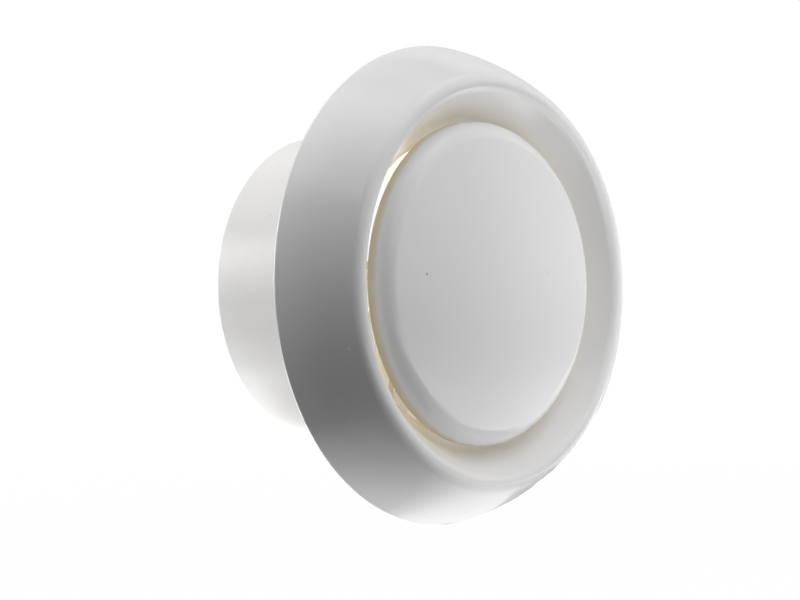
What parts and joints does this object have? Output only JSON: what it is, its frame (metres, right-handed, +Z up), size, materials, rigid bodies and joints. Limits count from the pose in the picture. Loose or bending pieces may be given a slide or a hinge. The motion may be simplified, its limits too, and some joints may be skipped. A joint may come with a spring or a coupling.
{
  "type": "round disc air valve",
  "caption": "Round wall or ceiling air valve with a sloping front ring, a screw-adjusted central disc and a duct mounting collar.",
  "frame": {"origin": "on the valve's axis, in the plane of the wall that the flange lies on", "axes": "-Y out of the wall, towards the front of the valve; +Y into the duct; +Z up"},
  "size_m": [0.15, 0.0741, 0.15],
  "materials": {
    "gloss_white": "moulded ABS, gloss",
    "collar_white": "moulded ABS, satin gloss",
    "grey_foam": "closed-cell foam",
    "zinc_steel": "zinc plated",
    "spring_steel": "phosphated spring steel",
    "insert_brass": "turned"
  },
  "bodies": {
    "collar": {"mounting_collar": "collar_white"},
    "valve": {"valve_body": "gloss_white", "ring_gasket": "grey_foam", "hub_nut": "zinc_steel", "lock_washer": "zinc_steel"},
    "end_stop": {"stop_washer": "zinc_steel"},
    "disc": {"valve_disc": "gloss_white", "disc_insert": "insert_brass", "disc_washer": "zinc_steel", "disc_nut": "zinc_steel", "spindle": "zinc_steel", "retaining_clip": "spring_steel"},
    "locking_nut": {"lock_nut": "zinc_steel"}
  },
  "joints": [
    {"name": "bayonet_turn", "type": "hinge", "parent": "collar", "child": "valve", "pos_m": [0, 0, 0], "axis": [0, 1, 0], "range_deg": [-26, 0]},
    {"name": "disc_travel", "type": "slide", "parent": "valve", "child": "end_stop", "axis": [0, -1, 0], "range_m": [-0.0027, 0.01]},
    {"name": "disc_turn", "type": "hinge", "parent": "end_stop", "child": "disc", "pos_m": [0, 0, 0], "axis": [0, -1, 0], "range_deg": [-972, 3600]},
    {"name": "nut_back_off", "type": "slide", "parent": "valve", "child": "locking_nut", "axis": [0, 1, 0], "range_m": [0, 0.0015]}
  ],
  "couplings": [
    {"joint": "disc_travel", "follows": "disc_turn", "m_per_rad": 0.00015915}
  ]
}
